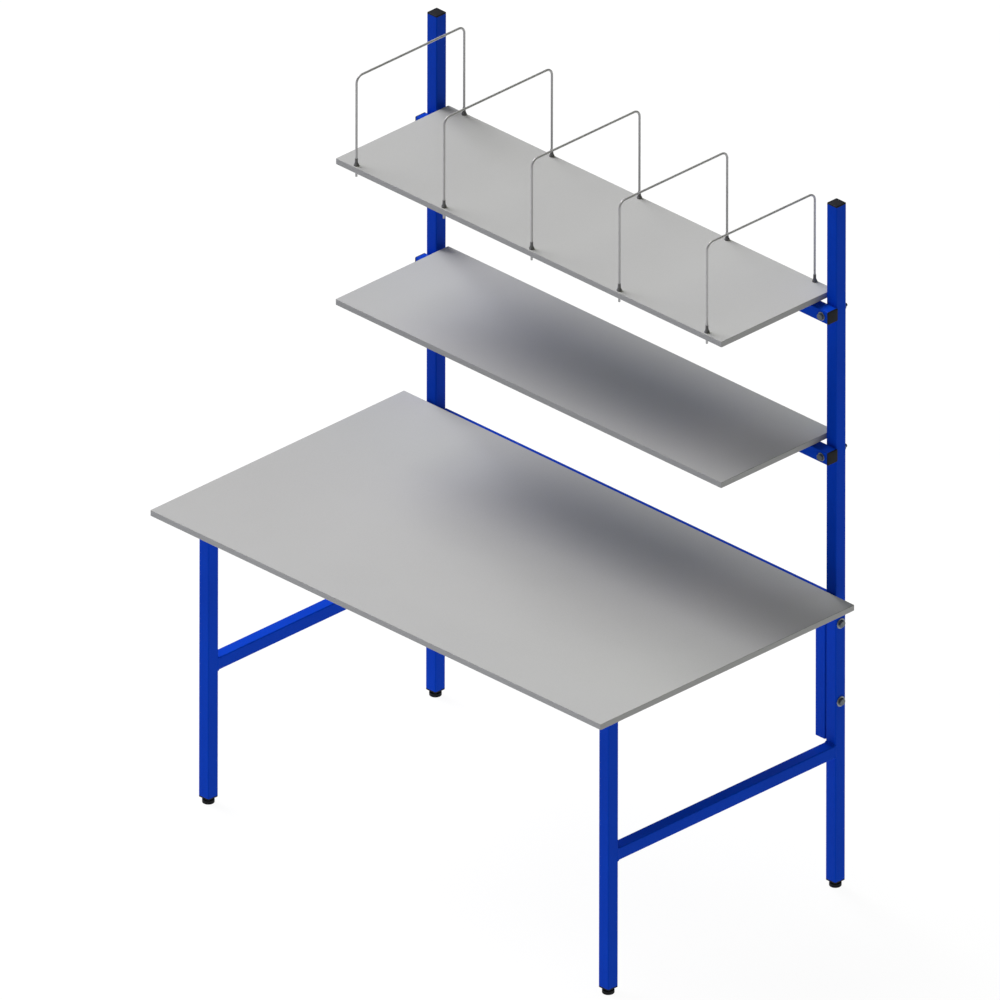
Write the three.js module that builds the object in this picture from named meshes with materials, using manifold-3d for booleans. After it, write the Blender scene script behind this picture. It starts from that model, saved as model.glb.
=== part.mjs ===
// Packing table: a board worktop on a square-tube frame whose two rear uprights carry two shelves,
// with five lift-out wire dividers on the upper shelf and four levelling feet.
// Millimetres. X runs along the table, +Y is its back, +Z is up, and the floor is at zero.

import * as THREE from "three";
import { mergeVertices } from "three/addons/utils/BufferGeometryUtils.js";
import Module from "manifold-3d";

const wasm = await Module();
wasm.setup();

// Worktop
const worktopWidth = 1600;
const worktopDepth = 900;
const worktopThickness = 16;
const worktopTopHeight = 842;
const worktopBackGap = 6;

// Shelves
const shelfDepth = 400;
const shelfThickness = 16;
const shelfSideClearance = 7.5;
const upperShelfDrop = 263;
const shelfPitch = 401;

// Edges of all boards
const boardEdgeRounding = 1.2;
const boardCornerRadius = 2.5;

// Frame tube
const tubeSize = 35;
const tubeWall = 2;
const tubeCornerRadius = 3;

// Frame
const worktopSideOverhang = 72.5;
const frameDepth = 840;
const frameHeight = 1946;
const braceTopHeight = 410;
const rearBearerInset = 12;
const backRailDrop = 7;
const backPostFootHeight = 415;
const backPostPlate = 2;

// Shelf beams and the flat arms on them
const beamLength = 1460;
const armThickness = 8;
const armWidth = 40;
const armEndInset = 30;
const armSpacing = 800;

// Plastic end pieces
const capFlange = 4;
const capDome = 1.5;
const capPlugLength = 20;
const beamCapBoltClearance = 2;
const plugClearance = 0.3;

// Levelling feet and their threaded inserts
const footHeight = 16;
const footBaseDiameter = 32;
const footBaseHeight = 11;
const footRimRounding = 2;
const footNeckDiameter = 19;
const footStudLength = 38;
const footStudDiameter = 10;
const footStudClearance = 0.5;
const insertPlugLength = 25;

// Bolts, nuts and washers
const boltDiameter = 10;
const boltHoleClearance = 0.6;
const boltHeadHeight = 6.4;
const boltHeadFlats = 17;
const nutHeight = 8;
const washerThickness = 2;
const nutWasherDiameter = 20;
const blindNutFlange = 1.5;
const blindNutDiameter = 16;
const frameBoltLength = 75;
const frameBoltWasherDiameter = 28;
const frameBoltTopDrop = 31;
const frameBoltPitch = 222;
const spacerThickness = 3;
const spacerDiameter = 24;
const beamBoltLength = 90;
const beamBoltWasherDiameter = 23;

// Wire dividers
const dividerCount = 5;
const dividerEndInset = 62.6;
const dividerFrontInset = 11;
const dividerBackInset = 7;
const dividerHeight = 255;
const dividerBendRadius = 20;
const dividerTail = 16;
const wireDiameter = 6;
const wireHoleClearance = 0.4;
const ferruleHeight = 20;
const ferruleBaseDiameter = 13.5;
const ferruleTopDiameter = 7.6;
const ferruleBoreClearance = 0.3;
const ferruleSkirtShare = 0.15;

// Facets of the round shapes
const cornerSteps = 3;
const edgeSteps = 2;
const bendSteps = 7;
const wireSides = 8;
const holeSides = 12;
const shankSides = 12;
const washerSides = 20;
const footSides = 24;
const ferruleSides = 12;
const hexSides = 6;

// How far a cutting tool runs past what it cuts, and how closely points are merged
const cutOverrun = 2;
const mergeTolerance = 0.0001;

// An inner corner of a tube keeps this share of its outer radius
const innerCornerShare = 0.4;

// Derived sizes
const frameWidth = worktopWidth - 2 * worktopSideOverhang;
const halfTube = tubeSize / 2;
const beamBoltReach = beamBoltLength - washerThickness - 2 * tubeSize;
const overallDepth = worktopDepth + worktopBackGap + tubeSize + beamBoltReach;
const sideTubeLength = frameDepth - 2 * tubeSize;
const crossTubeLength = frameWidth - 2 * tubeSize;
const shelfWidth = crossTubeLength - 2 * shelfSideClearance;
const backRailLength = crossTubeLength - 2 * spacerThickness;
const worktopUnderside = worktopTopHeight - worktopThickness;
const tubeFootHeight = footHeight + capFlange;
const boltHoleDiameter = boltDiameter + 2 * boltHoleClearance;
const dividerPitch = (shelfWidth - 2 * dividerEndInset) / (dividerCount - 1);
const dividerSpan = shelfDepth - dividerFrontInset - dividerBackInset;
const dividerShift = (dividerFrontInset - dividerBackInset) / 2;

// Derived places
const worktopFrontY = -overallDepth / 2;
const worktopY = worktopFrontY + worktopDepth / 2;
const worktopBackY = worktopFrontY + worktopDepth;
const uprightX = (frameWidth - tubeSize) / 2;
const uprightY = worktopBackY + worktopBackGap + halfTube;
const frontLegY = uprightY - (frameDepth - tubeSize);
const sideTubeY = (uprightY + frontLegY) / 2;
const railZ = worktopUnderside - halfTube;
const braceZ = braceTopHeight - halfTube;
const rearBearerY = worktopBackY - rearBearerInset - halfTube;
const backPostX = backRailLength / 2 - halfTube;
const backRailZ = railZ - backRailDrop;
const backPostTop = backRailZ - halfTube;
const frameBoltHeights = {
  upper: backPostTop - frameBoltTopDrop,
  lower: backPostTop - frameBoltTopDrop - frameBoltPitch,
};
const shelfY = uprightY + halfTube - shelfDepth / 2;
const upperShelfTopHeight = frameHeight - upperShelfDrop;
const shelfTopHeights = { upper: upperShelfTopHeight, lower: upperShelfTopHeight - shelfPitch };
const beamY = uprightY - tubeSize;
const sides = { left: -1, right: 1 };

// Height of the middle of a shelf's beam
function beamHeightOf(level) {
  return shelfTopHeights[level] - shelfThickness - armThickness - halfTube;
}

// Materials
function finish(color, roughness, metalness) {
  return new THREE.MeshStandardMaterial({ color, roughness, metalness });
}
const blueCoat = finish(0x0a3a9e, 0.42, 0.1);
const greyBoard = finish(0xbbbcbb, 0.55, 0);
const blackPlastic = finish(0x16181b, 0.5, 0);
const greyPlastic = finish(0x4b4c4d, 0.55, 0);
const zincSteel = finish(0xa8adb2, 0.35, 0.85);
const brightWire = finish(0xa7a8a5, 0.38, 0.7);

// Booleans on closed geometries

function toSolid(geometry) {
  const bare = geometry.clone();
  bare.deleteAttribute("normal");
  bare.deleteAttribute("uv");
  const merged = mergeVertices(bare, mergeTolerance);
  return new wasm.Manifold(new wasm.Mesh({
    numProp: 3,
    vertProperties: Float32Array.from(merged.attributes.position.array),
    triVerts: Uint32Array.from(merged.index.array),
  }));
}

function toGeometry(solid) {
  const mesh = solid.getMesh();
  const geometry = new THREE.BufferGeometry();
  geometry.setAttribute("position", new THREE.BufferAttribute(mesh.vertProperties, 3));
  geometry.setIndex(new THREE.BufferAttribute(mesh.triVerts, 1));
  geometry.computeVertexNormals();
  return geometry;
}

function join(geometries) {
  const [first, ...others] = geometries.map(toSolid);
  return toGeometry(others.reduce((whole, solid) => whole.add(solid), first));
}

function cut(geometry, tools) {
  return toGeometry(tools.map(toSolid).reduce((whole, tool) => whole.subtract(tool), toSolid(geometry)));
}

// Basic shapes

// Points round a rectangle with rounded corners, anticlockwise about the origin
function roundedRectangle(width, height, radius) {
  const points = [];
  const signs = [[1, 1], [-1, 1], [-1, -1], [1, -1]];
  signs.forEach(([signX, signY], corner) => {
    for (let step = 0; step <= cornerSteps; step += 1) {
      const angle = (corner + step / cornerSteps) * (Math.PI / 2);
      points.push(new THREE.Vector2(
        signX * (width / 2 - radius) + radius * Math.cos(angle),
        signY * (height / 2 - radius) + radius * Math.sin(angle),
      ));
    }
  });
  return points;
}

// Bar of an outline along Z, centred on the origin, with an optional hole all along it
function bar(outline, length, hole) {
  const shape = new THREE.Shape(outline);
  if (hole) shape.holes.push(new THREE.Path(hole));
  const geometry = new THREE.ExtrudeGeometry(shape, { depth: length, bevelEnabled: false });
  return geometry.translate(0, 0, -length / 2);
}

// Hollow square tube along Z
function frameTube(length) {
  const innerSize = tubeSize - 2 * tubeWall;
  const outer = roundedRectangle(tubeSize, tubeSize, tubeCornerRadius);
  const inner = roundedRectangle(innerSize, innerSize, tubeCornerRadius * innerCornerShare);
  return bar(outer, length, inner);
}

// Turns a Z-long geometry to lie along X or Y
function alongX(geometry) {
  return geometry.rotateY(Math.PI / 2);
}

function alongY(geometry) {
  return geometry.rotateX(-Math.PI / 2);
}

// Round rod along Z from one height to another
function rod(diameter, low, high, facets) {
  const geometry = new THREE.CylinderGeometry(diameter / 2, diameter / 2, high - low, facets);
  return geometry.rotateX(Math.PI / 2).translate(0, 0, (low + high) / 2);
}

// Hexagonal prism along Z between two heights, from its width across flats
function hexagon(flats, low, high) {
  return rod(flats / Math.cos(Math.PI / hexSides), low, high, hexSides);
}

// Drill that goes right through a tube of the given size
function drill(diameter, size) {
  return rod(diameter, -size / 2 - cutOverrun, size / 2 + cutOverrun, holeSides);
}

// Flat board centred on the origin, with rounded edges and corners
function board(width, depth, thickness) {
  const outline = roundedRectangle(
    width - 2 * boardEdgeRounding,
    depth - 2 * boardEdgeRounding,
    boardCornerRadius - boardEdgeRounding,
  );
  const core = thickness - 2 * boardEdgeRounding;
  const geometry = new THREE.ExtrudeGeometry(new THREE.Shape(outline), {
    depth: core,
    bevelEnabled: true,
    bevelThickness: boardEdgeRounding,
    bevelSize: boardEdgeRounding,
    bevelSegments: edgeSteps,
  });
  return geometry.translate(0, 0, -core / 2);
}

// Closed solid of revolution about Z from a profile of [radius, height] pairs
function turned(profile, facets) {
  const points = profile.map(([radius, height]) => new THREE.Vector2(radius, height));
  return new THREE.LatheGeometry(points, facets).rotateX(Math.PI / 2);
}

// Frame pieces

// Rear upright, centred on its own length, drilled for the frame bolts and the beam bolts
function rearUpright(length, middle) {
  const crossHoles = Object.values(frameBoltHeights).map((height) => (
    alongX(drill(boltHoleDiameter, tubeSize)).translate(0, 0, height - middle)
  ));
  const beamHoles = Object.keys(shelfTopHeights).map((level) => (
    alongY(drill(boltHoleDiameter, tubeSize)).translate(0, 0, beamHeightOf(level) - middle)
  ));
  return cut(frameTube(length), [...crossHoles, ...beamHoles]);
}

// Back post: a tube with a plate welded over its lower end, drilled for the frame bolts
function backPost(length, middle) {
  const innerSize = tubeSize - 2 * tubeWall;
  const innerOutline = roundedRectangle(innerSize, innerSize, tubeCornerRadius * innerCornerShare);
  const hollow = bar(innerOutline, length).translate(0, 0, backPostPlate);
  const outer = bar(roundedRectangle(tubeSize, tubeSize, tubeCornerRadius), length);
  const holes = Object.values(frameBoltHeights).map((height) => (
    alongX(drill(boltHoleDiameter, tubeSize)).translate(0, 0, height - middle)
  ));
  return cut(outer, [hollow, ...holes]);
}

// Shelf beam along X, drilled through front to back at both uprights
function shelfBeam() {
  const holes = Object.values(sides).map((side) => (
    alongY(drill(boltHoleDiameter, tubeSize)).translate(side * uprightX, 0, 0)
  ));
  return cut(alongX(frameTube(beamLength)), holes);
}

// Flat steel arm under a shelf, along Y
function shelfArm() {
  const outline = roundedRectangle(armWidth, armThickness, armThickness * innerCornerShare / 2);
  return alongY(bar(outline, shelfDepth - 2 * armEndInset));
}

// Plastic pieces

// Square plug that fills a frame tube between two heights
function tubePlug(low, high) {
  const size = tubeSize - 2 * tubeWall - 2 * plugClearance;
  const plug = bar(roundedRectangle(size, size, tubeCornerRadius * innerCornerShare), high - low);
  return plug.translate(0, 0, (low + high) / 2);
}

// Cap on a tube's end: a flange with a low dome and a plug below it. The tube's end is at zero.
function tubeCap(plugLength) {
  const size = tubeSize - 2 * capDome;
  const outline = roundedRectangle(size, size, tubeCornerRadius / 2);
  const flange = new THREE.ExtrudeGeometry(new THREE.Shape(outline), {
    depth: capFlange - capDome,
    bevelEnabled: true,
    bevelThickness: capDome,
    bevelSize: capDome,
    bevelSegments: edgeSteps,
  });
  const below = rod(tubeSize * 2, -capDome - cutOverrun, 0, hexSides);
  return join([cut(flange, [below]), tubePlug(-plugLength, capFlange / 2)]);
}

// Threaded insert: a flange under the tube, a plug in it and a bore for the foot's stud
function footInsert() {
  const flange = bar(roundedRectangle(tubeSize, tubeSize, tubeCornerRadius), capFlange);
  const body = join([
    flange.translate(0, 0, -capFlange / 2),
    tubePlug(-capFlange / 2, insertPlugLength),
  ]);
  const boreDiameter = footStudDiameter + 2 * footStudClearance;
  const bore = rod(boreDiameter, -capFlange - cutOverrun, insertPlugLength + cutOverrun, holeSides);
  return cut(body, [bore]);
}

// Levelling foot: a round base, a hexagonal neck and a stud. The floor is at zero.
function levellingFoot() {
  const radius = footBaseDiameter / 2;
  const base = turned([
    [0, 0],
    [radius - footRimRounding, 0],
    [radius, footRimRounding],
    [radius, footBaseHeight - footRimRounding],
    [radius - footRimRounding, footBaseHeight],
    [0, footBaseHeight],
  ], footSides);
  const neck = hexagon(footNeckDiameter, footBaseHeight - footRimRounding, footHeight);
  const stud = rod(footStudDiameter, footBaseHeight, footHeight + footStudLength, shankSides);
  return join([base, neck, stud]);
}

// Fasteners

// Hexagon bolt along +Z and the washer under its head. The washer's outer face is at zero.
function boltPieces(length, washerDiameter) {
  return [
    hexagon(boltHeadFlats, -boltHeadHeight, 0),
    rod(boltDiameter, -boltHeadHeight / 2, length, shankSides),
    rod(washerDiameter, 0, washerThickness, washerSides),
  ];
}

// Frame bolt with the spacer between its tubes. It ends in a blind nut, whose flange lies on the far tube.
function frameBolt() {
  const spacerStart = washerThickness + tubeSize;
  const farFace = spacerStart + spacerThickness + tubeSize;
  return join([
    ...boltPieces(frameBoltLength, frameBoltWasherDiameter),
    rod(spacerDiameter, spacerStart, spacerStart + spacerThickness, washerSides),
    rod(boltDiameter, farFace - nutHeight, farFace + blindNutFlange, shankSides),
    rod(blindNutDiameter, farFace, farFace + blindNutFlange, washerSides),
  ]);
}

// Beam bolt with a washer and a nut on the far side of the upright
function beamBolt() {
  const farFace = washerThickness + 2 * tubeSize;
  const nutStart = farFace + washerThickness;
  return join([
    ...boltPieces(beamBoltLength, beamBoltWasherDiameter),
    rod(nutWasherDiameter, farFace, nutStart, washerSides),
    hexagon(boltHeadFlats, nutStart, nutStart + nutHeight),
  ]);
}

// Shelf boards and dividers

function dividerX(index) {
  return -shelfWidth / 2 + dividerEndInset + index * dividerPitch;
}

// Upper shelf board with a hole for each foot of the dividers
function drilledShelf() {
  const holes = [];
  for (let index = 0; index < dividerCount; index += 1) {
    for (const side of [-1, 1]) {
      const hole = drill(wireDiameter + 2 * wireHoleClearance, shelfThickness);
      holes.push(hole.translate(dividerX(index), dividerShift + side * dividerSpan / 2, 0));
    }
  }
  return cut(board(shelfWidth, shelfDepth, shelfThickness), holes);
}

// Centre line of a divider in the YZ plane, as stations with a point and a direction:
// up one leg, round a bend, over the top, round the other bend and down. The shelf's top is at zero.
class DividerLine extends THREE.Curve {
  constructor() {
    super();
    const foot = -shelfThickness - dividerTail;
    const top = dividerHeight - wireDiameter / 2;
    const half = dividerSpan / 2;
    this.stations = [{ y: -half, z: foot, angle: Math.PI / 2 }];
    for (const side of [-1, 1]) {
      for (let step = 0; step <= bendSteps; step += 1) {
        const turn = (step / bendSteps) * (Math.PI / 2);
        const angle = side < 0 ? Math.PI - turn : Math.PI / 2 - turn;
        this.stations.push({
          y: side * (half - dividerBendRadius) + dividerBendRadius * Math.cos(angle),
          z: top - dividerBendRadius + dividerBendRadius * Math.sin(angle),
          angle: angle - Math.PI / 2,
        });
      }
    }
    this.stations.push({ y: half, z: foot, angle: -Math.PI / 2 });
  }

  station(share) {
    return this.stations[Math.round(share * (this.stations.length - 1))];
  }

  getPointAt(share, target = new THREE.Vector3()) {
    const { y, z } = this.station(share);
    return target.set(0, y, z);
  }

  getTangentAt(share, target = new THREE.Vector3()) {
    const { angle } = this.station(share);
    return target.set(0, Math.cos(angle), Math.sin(angle));
  }
}

function dividerWire() {
  const line = new DividerLine();
  const section = [];
  for (let side = 0; side < wireSides; side += 1) {
    const angle = (side / wireSides) * 2 * Math.PI;
    const radius = wireDiameter / 2;
    section.push(new THREE.Vector2(radius * Math.cos(angle), radius * Math.sin(angle)));
  }
  return new THREE.ExtrudeGeometry(new THREE.Shape(section), {
    steps: line.stations.length - 1,
    bevelEnabled: false,
    extrudePath: line,
  });
}

// Conical stop sleeve on a divider's leg, standing on the shelf at zero
function dividerFerrule() {
  const bore = wireDiameter / 2 + ferruleBoreClearance;
  const skirt = ferruleHeight * ferruleSkirtShare;
  const profile = [
    [bore, 0],
    [ferruleBaseDiameter / 2, 0],
    [ferruleBaseDiameter / 2, skirt],
    [ferruleTopDiameter / 2, ferruleHeight],
    [bore, ferruleHeight],
    [bore, 0],
  ];
  return turned(profile, ferruleSides);
}

// Assembly

const table = new THREE.Group();

function place(name, geometry, material, x, y, z) {
  const mesh = new THREE.Mesh(geometry, material);
  mesh.name = name;
  mesh.position.set(x, y, z);
  table.add(mesh);
  return mesh;
}

place("worktop", board(worktopWidth, worktopDepth, worktopThickness), greyBoard,
  0, worktopY, worktopUnderside + worktopThickness / 2);

// Side frames, each with its front leg, rear upright, rail and brace
const legLength = worktopUnderside - tubeFootHeight;
const uprightLength = frameHeight - capFlange - tubeFootHeight;
const legZ = tubeFootHeight + legLength / 2;
const uprightZ = tubeFootHeight + uprightLength / 2;
for (const [sideName, side] of Object.entries(sides)) {
  const x = side * uprightX;
  place(`front_leg_${sideName}`, frameTube(legLength), blueCoat, x, frontLegY, legZ);
  place(`rear_upright_${sideName}`, rearUpright(uprightLength, uprightZ), blueCoat, x, uprightY, uprightZ);
  place(`side_rail_${sideName}`, alongY(frameTube(sideTubeLength)), blueCoat, x, sideTubeY, railZ);
  place(`side_brace_${sideName}`, alongY(frameTube(sideTubeLength)), blueCoat, x, sideTubeY, braceZ);
  place(`upright_cap_${sideName}`, tubeCap(capPlugLength), blackPlastic, x, uprightY, frameHeight - capFlange);
  for (const [end, y] of [["front", frontLegY], ["rear", uprightY]]) {
    place(`foot_insert_${end}_${sideName}`, footInsert(), blackPlastic, x, y, tubeFootHeight);
    place(`levelling_foot_${end}_${sideName}`, levellingFoot(), blackPlastic, x, y, 0);
  }
}

// Cross rails under the worktop
place("front_rail", alongX(frameTube(crossTubeLength)), blueCoat, 0, frontLegY, railZ);
place("rear_bearer", alongX(frameTube(crossTubeLength)), blueCoat, 0, rearBearerY, railZ);

// Back frame: a rail on two posts, bolted to the uprights with spacers between
const postLength = backPostTop - backPostFootHeight;
const postZ = backPostFootHeight + postLength / 2;
place("back_rail", alongX(frameTube(backRailLength)), blueCoat, 0, uprightY, backRailZ);
for (const [sideName, side] of Object.entries(sides)) {
  place(`back_post_${sideName}`, backPost(postLength, postZ), blueCoat, side * backPostX, uprightY, postZ);
  for (const [level, height] of Object.entries(frameBoltHeights)) {
    const bolt = frameBolt().rotateY(-side * Math.PI / 2);
    const x = side * (frameWidth / 2 + washerThickness);
    place(`frame_bolt_${level}_${sideName}`, bolt, zincSteel, x, uprightY, height);
  }
}

// Shelves, each on a beam with two arms
const beamCapPlugLength = (beamLength - boltHoleDiameter) / 2 - uprightX - beamCapBoltClearance;
const dividerY = shelfY + dividerShift;
for (const [level, topHeight] of Object.entries(shelfTopHeights)) {
  const underside = topHeight - shelfThickness;
  const beamZ = beamHeightOf(level);
  const shelf = level === "upper" ? drilledShelf() : board(shelfWidth, shelfDepth, shelfThickness);
  place(`shelf_${level}`, shelf, greyBoard, 0, shelfY, underside + shelfThickness / 2);
  place(`shelf_beam_${level}`, shelfBeam(), blueCoat, 0, beamY, beamZ);
  for (const [sideName, side] of Object.entries(sides)) {
    const armX = side * armSpacing / 2;
    place(`shelf_arm_${level}_${sideName}`, shelfArm(), blueCoat, armX, shelfY, underside - armThickness / 2);
    place(`beam_cap_${level}_${sideName}`, tubeCap(beamCapPlugLength).rotateY(side * Math.PI / 2), blackPlastic,
      side * beamLength / 2, beamY, beamZ);
    place(`beam_bolt_${level}_${sideName}`, alongY(beamBolt()), zincSteel,
      side * uprightX, beamY - halfTube - washerThickness, beamZ);
  }
}

// Wire dividers standing in the upper shelf
for (let index = 0; index < dividerCount; index += 1) {
  const number = index + 1;
  place(`divider_wire_${number}`, dividerWire(), brightWire, dividerX(index), dividerY, upperShelfTopHeight);
  for (const [end, side] of [["front", -1], ["back", 1]]) {
    place(`divider_ferrule_${number}_${end}`, dividerFerrule(), greyPlastic,
      dividerX(index), dividerY + side * dividerSpan / 2, upperShelfTopHeight);
  }
}

export default table;
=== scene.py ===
# Packing table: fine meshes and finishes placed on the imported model.
import math

import bpy
import numpy as np
from mathutils import Matrix, Vector


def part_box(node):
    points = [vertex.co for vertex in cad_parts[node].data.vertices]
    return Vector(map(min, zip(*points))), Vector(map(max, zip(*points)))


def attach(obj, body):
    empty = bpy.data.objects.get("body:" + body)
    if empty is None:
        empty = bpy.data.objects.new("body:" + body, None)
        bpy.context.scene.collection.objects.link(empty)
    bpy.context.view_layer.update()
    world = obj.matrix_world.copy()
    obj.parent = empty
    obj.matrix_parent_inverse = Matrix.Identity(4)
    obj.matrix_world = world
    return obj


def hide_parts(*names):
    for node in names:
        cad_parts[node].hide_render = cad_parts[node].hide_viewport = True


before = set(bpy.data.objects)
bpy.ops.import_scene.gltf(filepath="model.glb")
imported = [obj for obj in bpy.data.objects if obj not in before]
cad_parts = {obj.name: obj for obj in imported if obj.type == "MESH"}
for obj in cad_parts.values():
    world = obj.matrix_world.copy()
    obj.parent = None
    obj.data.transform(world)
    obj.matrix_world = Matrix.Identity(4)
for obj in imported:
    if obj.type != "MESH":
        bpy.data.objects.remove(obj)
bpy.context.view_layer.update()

MM = 0.001
X, Y, Z = 0, 1, 2
SIDES = {"left": -1, "right": 1}
LEVELS = ("upper", "lower")
ENDS = ("front", "rear")
SLEEVE_ENDS = ("front", "back")
DIVIDERS = range(1, 1 + sum(name.startswith("divider_wire_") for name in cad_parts))
TABLE = "table_frame"

# Steel tubes and bars
TUBE_WALL = 2 * MM
TUBE_CORNER = 3 * MM
INNER_CORNER_SHARE = 0.4
POST_PLATE = 2 * MM
BORE_RADIUS = 5.6 * MM
BORE_REACH = 60 * MM
ARM_CORNER = 1.6 * MM
ARM_END_ROUNDING = 0.5 * MM

# Boards
BOARD_ROUNDING = 1.2 * MM
BOARD_CORNER = 2.5 * MM
BAND_THICKNESS = 1.3 * MM
GLUE_LINE = 0.12 * MM
DIVIDER_HOLE_RADIUS = 3.4 * MM

# Plastic caps and inserts in the tubes' ends, and the steel bush in an insert
CAP_FLANGE = 4 * MM
CAP_DOME = 1.5 * MM
CAP_CROWN = 0.5 * MM
CAP_ARRIS = 0.5 * MM
CROWN_SHARES = (0.8, 0.6, 0.4, 0.2, 0.05)
CROWN_CORNER_SHARE = 0.05
PLUG_HALF = 15.2 * MM
PLUG_CORNER = 1.2 * MM
PLUG_RIB = 0.28 * MM
PLUG_RIBS = 4
PLUG_RIB_SHARPNESS = 8
PLUG_TIP_DRAFT = 0.6 * MM
PLUG_TIP_LENGTH = 2 * MM
INSERT_BORE = 5.5 * MM
BUSH_RADIUS = 7 * MM
BUSH_DEPTH = 12 * MM
BUSH_LIP = 0.35 * MM
BUSH_SUNK = 0.3 * MM
BUSH_PLAY = 0.02 * MM

# Levelling feet. The groove is given in shares of the base's height and of the groove's depth.
FOOT_BASE_HEIGHT = 11 * MM
FOOT_RIM = 2 * MM
FOOT_GROOVE = ((0.4, 0), (0.44, 1), (0.52, 1), (0.56, 0))
FOOT_GROOVE_DEPTH = 0.5 * MM
FOOT_NECK_TOP = 16 * MM
FOOT_NECK_FLATS = 19 * MM
STUD_SUNK = 1 * MM

# Bolts, nuts, washers and spacers. A hexagon's cones and a head's round seat are given as shares
# of the width across flats, and a thread's crest and root are levelled over a share of its depth.
BOLT_RADIUS = 5 * MM
BOLT_END_GAP = 0.1 * MM
SHANK_START = 0.2 * MM
THREAD_PITCH = 1.5 * MM
THREAD_LENGTH = 26 * MM
THREAD_DEPTH_SHARE = 0.61
THREAD_LEVELLING = 0.125
THREAD_RUNOUT = 2 * THREAD_PITCH
HEX_FLATS = 17 * MM
HEX_CONE_SHARE = 0.94
HEX_SEAT_SHARE = 0.93
HEX_CONE_ANGLE = math.radians(30)
HEAD_HEIGHT = 6.4 * MM
NUT_HEIGHT = 8 * MM
NUT_LEAD = 0.8 * MM
NUT_PLAY = 0.05 * MM
BLIND_NUT_RADIUS = 8 * MM
BLIND_NUT_FLANGE = 1.5 * MM
BLIND_NUT_BARREL = 5.5 * MM
BLIND_NUT_DEPTH = 9 * MM
WASHER_THICKNESS = 2 * MM
WASHER_ARRIS = 0.3 * MM
WASHER_PLAY = 0.3 * MM
NUT_WASHER_RADIUS = 10 * MM
FRAME_WASHER_RADIUS = 14 * MM
BEAM_WASHER_RADIUS = 11.5 * MM
SPACER_RADIUS = 12 * MM
SPACER_THICKNESS = 3 * MM

# Wood screws: a head, the cross in it, and where screws stand on an arm and along a rail
SCREW_RADIUS = 4.6 * MM
SCREW_HEIGHT = 2.6 * MM
SCREW_DOME_SHARE = 0.85
SCREW_RECESS = 1.5 * MM
SCREW_SLOT_HALF = 0.75 * MM
SCREW_SLOT_WALL = 0.35 * MM
SCREW_SLOT_REACH = 2.6 * MM
SCREW_SLOT_END = 0.8 * MM
ARM_SCREW_FROM_FRONT = 25 * MM
ARM_SCREW_FROM_BEAM = 40 * MM
RAIL_SCREW_SHARES = (0.15, 0.5, 0.85)

# Dividers
WIRE_BEND = 20 * MM
WIRE_END_ROUNDING = 0.8 * MM
SLEEVE_TOP = 3.8 * MM
SLEEVE_TOP_ARRIS = 0.15 * MM
SLEEVE_BORE = 3.3 * MM
SLEEVE_SKIRT_SHARE = 0.15
SLEEVE_FLARE = 4
SLEEVE_NECKING = 0.4 * MM
SLEEVE_ARRIS = 0.5 * MM

# Weld beads, in an inner corner and over a flush joint: how far a bead's middle is sunk under the
# surface, how far the bead rises from there, and how far it reaches along the joint's axis
CORNER_BEAD = (0.4 * MM, 3.6 * MM, 3.6 * MM)
FLUSH_BEAD = (1.3 * MM, 1.75 * MM, 4.2 * MM)
BEADS = {"corner": CORNER_BEAD, "flush": FLUSH_BEAD, "bare": FLUSH_BEAD}
BEAD_STEP = 1.1 * MM
BEAD_RIPPLE = 2.6 * MM
BEAD_RIPPLE_SHARE = 0.07
BEAD_RIPPLE_LAG = 1.2
BEAD_TAPER = 4 * MM
BEAD_END_SHARE = 0.02
BEAD_ROOT = 0.3 * MM
STITCH_LENGTH = 30 * MM

# How finely curves are cut. A rounded corner has one point more on the flat, that far from it,
# and a screw's head has rings at these shares of its radius.
ROUND = 48
FINE_ROUND = 64
CORNER_STEPS = 8
CORNER_HOLD = 0.35 * MM
ARM_END_STEPS = 3
CAP_STEPS = 6
PLUG_RIB_STEPS = 8
HEX_CONE_STEPS = 4
THREAD_STEPS = 8
SCREW_RINGS = np.concatenate([np.linspace(0.02, 0.62, 19), np.linspace(0.66, 1, 8)])
BEAD_SIDES = 14
WIRE_SIDES = 28
WIRE_BEND_STEPS = 26
WIRE_END_STEPS = 4
WIRE_RUN_POINTS = 12
SLEEVE_POINTS = 12
SHARP_ANGLE = math.radians(28)
NOISE_ROUGHNESS = 0.55

# Camera. Its middle is given from the point on the floor below the back rail's middle.
VIEW_AZIMUTH = math.radians(45)
VIEW_ELEVATION = math.radians(28.3)
VIEW_ROLL = 0.0018
VIEW_WIDTH = 2.50878
VIEW_RIGHT_OFFSET = -0.34095
VIEW_UP_OFFSET = 0.72692
VIEW_DISTANCE = 7.0
VIEW_DEPTH = 60

# Lamps: where each one's light comes from, round from +X and up from the floor in degrees, and how
# much it gives on a face turned to it, in red, green and blue
LAMPS = {
    "left_low": (180, 38, (0.525, 0.508, 0.603)),
    "left_high": (180, 52, (0.380, 0.392, 0.298)),
    "left_rear": (150, 38, (0.111, 0.107, 0.126)),
    "front_left": (210, 52, (0.175, 0.161, 0.200)),
    "front_right": (300, 52, (0.032, 0.042, 0.019)),
    "front_low": (270, 6, (0.093, 0.091, 0.121)),
    "right": (0, 52, (0.101, 0.089, 0.076)),
    "right_rear": (60, 52, (0.049, 0.057, 0.050)),
}
LAMP_SPREAD = math.radians(36)
LAMP_DISTANCE = 8.0

# The backdrop is seen behind the table from low down, and gives no light. The floor's own light
# keeps it white under the table.
BACKDROP = (1.0, 1.0, 1.0, 1.0)
FLOOR_GLOW = 0.95
FLOOR_MOTTLE = 0.4
FLOOR_HALF = 14.0
FLOOR_LINES = 9


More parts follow.
